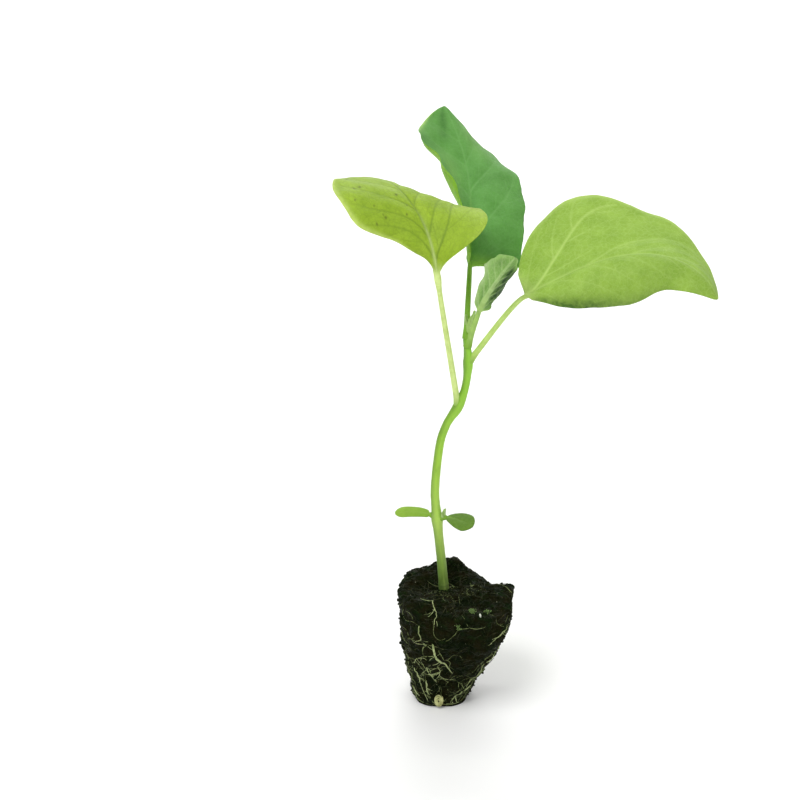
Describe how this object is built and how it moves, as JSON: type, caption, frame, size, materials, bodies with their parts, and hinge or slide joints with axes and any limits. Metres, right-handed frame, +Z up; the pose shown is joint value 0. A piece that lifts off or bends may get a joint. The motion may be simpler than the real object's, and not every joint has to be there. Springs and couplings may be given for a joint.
{
  "type": "eggplant seedling",
  "caption": "Young eggplant seedling standing on the tapered soil plug it was lifted with: wavy stem, broad arching leaves, small seed leaves and fine roots on the plug.",
  "frame": {"origin": "middle of the flat face that the soil plug stands on", "axes": "+Z up from the plug to the leaves, +X to the side of the long right-hand leaf, +Y to the back"},
  "size_m": [0.1241, 0.0907, 0.1991],
  "materials": {
    "soil": "matte, wet",
    "stem": "satin",
    "leaf_lime": "satin",
    "leaf_green": "satin",
    "leaf_deep": "satin",
    "leaf_young": "matte, downy",
    "cotyledon": "satin",
    "root": "matte",
    "moss": "matte",
    "perlite": "matte"
  },
  "bodies": {
    "root": {"soil_plug": "soil", "stem": "stem", "leaf_1": "leaf_lime", "leaf_2": "leaf_green", "leaf_3": "leaf_deep", "leaf_4": "leaf_young", "cotyledon_left": "cotyledon", "cotyledon_right": "cotyledon", "apical_bud": "leaf_young", "axillary_bud": "stem", "root_01": "root", "root_02": "root", "root_03": "root", "root_04": "root", "root_05": "root", "root_06": "root", "root_07": "root", "root_08": "root", "root_09": "root", "root_10": "root", "root_11": "root", "root_12": "root", "root_13": "root", "root_14": "root", "root_15": "root", "root_16": "root", "root_17": "root", "root_coil": "root", "moss_1": "moss", "moss_2": "moss", "moss_3": "moss", "perlite_grain": "perlite"}
  },
  "joints": []
}
